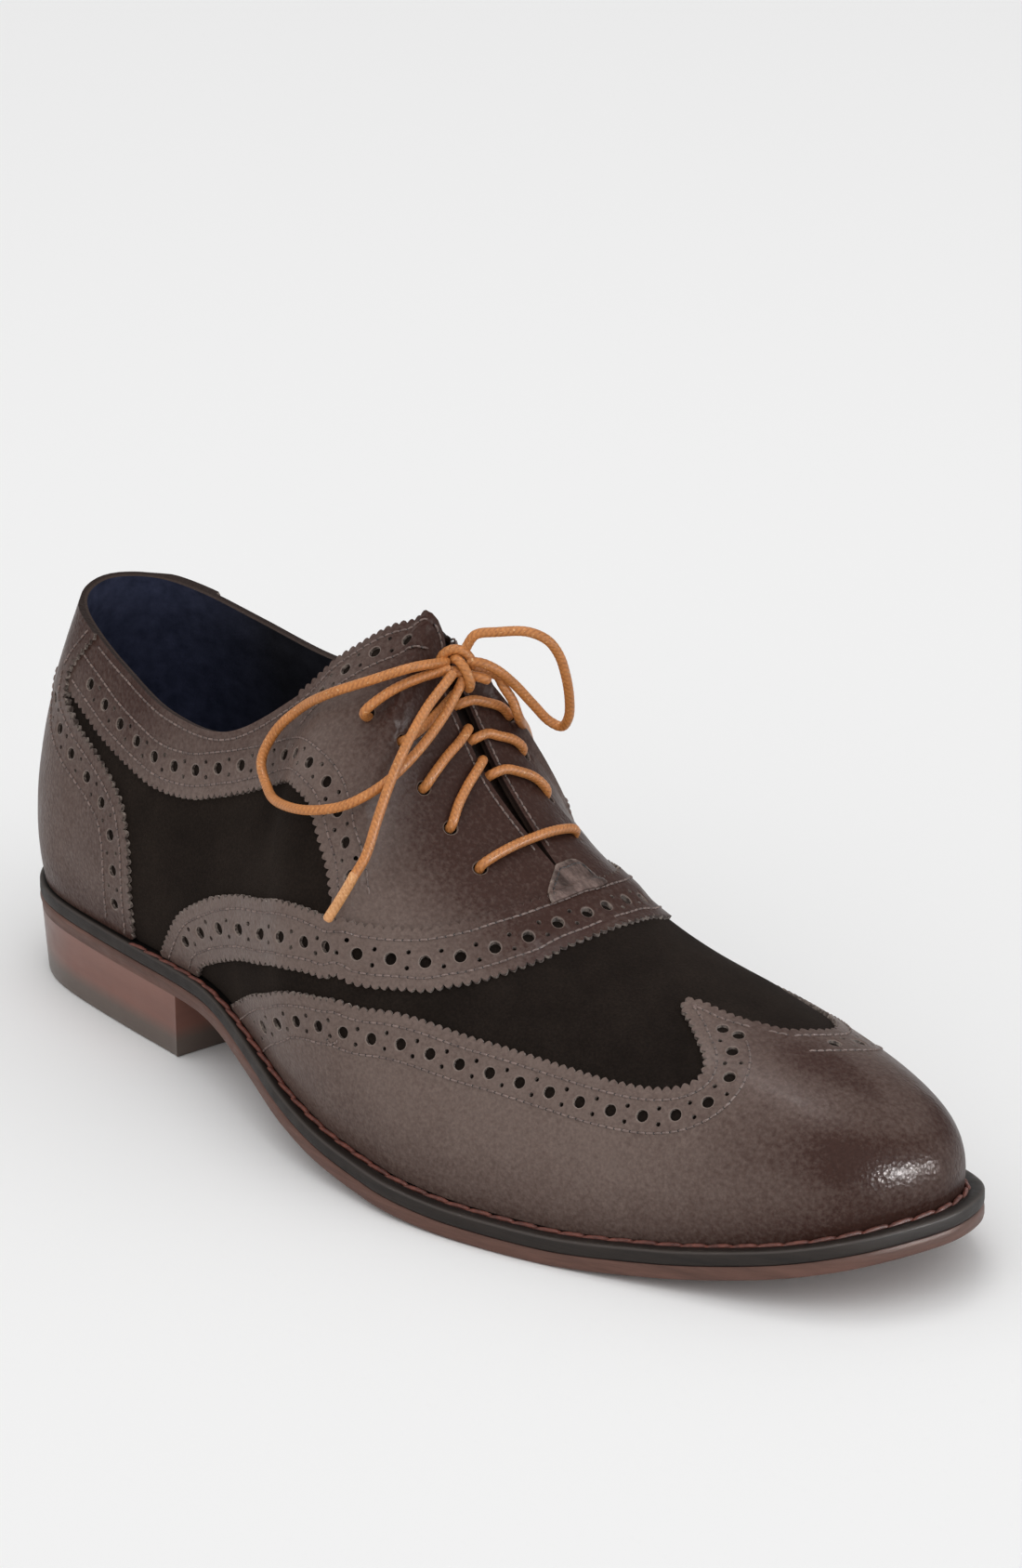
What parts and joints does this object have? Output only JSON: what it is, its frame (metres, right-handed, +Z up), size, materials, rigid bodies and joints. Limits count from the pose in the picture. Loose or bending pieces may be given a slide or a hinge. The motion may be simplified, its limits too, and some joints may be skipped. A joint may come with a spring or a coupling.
{
  "type": "wingtip oxford shoe",
  "caption": "Right wingtip oxford shoe with leather overlays on a suede upper, welted leather sole, stacked heel and laces tied in a bow.",
  "frame": {"origin": "middle of the shoe's box on the floor, laces apart, where heel and tread stand", "axes": "+X from heel to toe, +Y to the medial side, +Z up"},
  "size_m": [0.3028, 0.1085, 0.1272],
  "materials": {
    "sole_leather": "red-brown edge dressing",
    "welt_leather": "charcoal edge dressing",
    "toplift_rubber": "matt",
    "lining": "matt navy",
    "suede": "napped near-black brown",
    "tongue_leather": "satin",
    "upper_leather": "burnished grey-brown",
    "lace_cord": "waxed braid",
    "aglet": "clear wrap"
  },
  "bodies": {
    "root": {"outsole": "sole_leather", "welt": "welt_leather", "heel_toplift": "toplift_rubber", "heel_stack": "sole_leather", "insole": "lining", "upper": "suede", "tongue": "tongue_leather", "wing_cap": "upper_leather", "vamp_band": "upper_leather", "quarter_lateral": "upper_leather", "quarter_medial": "upper_leather", "heel_counter": "upper_leather", "lace_row_1": "lace_cord", "lace_row_2": "lace_cord", "lace_row_3": "lace_cord", "lace_row_4": "lace_cord", "lace_top_near": "lace_cord", "lace_top_far": "lace_cord", "lace_loop_near": "lace_cord", "lace_loop_far": "lace_cord", "lace_end_near": "lace_cord", "lace_tip_near": "aglet", "lace_end_far": "lace_cord", "lace_tip_far": "aglet", "lace_knot": "lace_cord"}
  },
  "joints": []
}
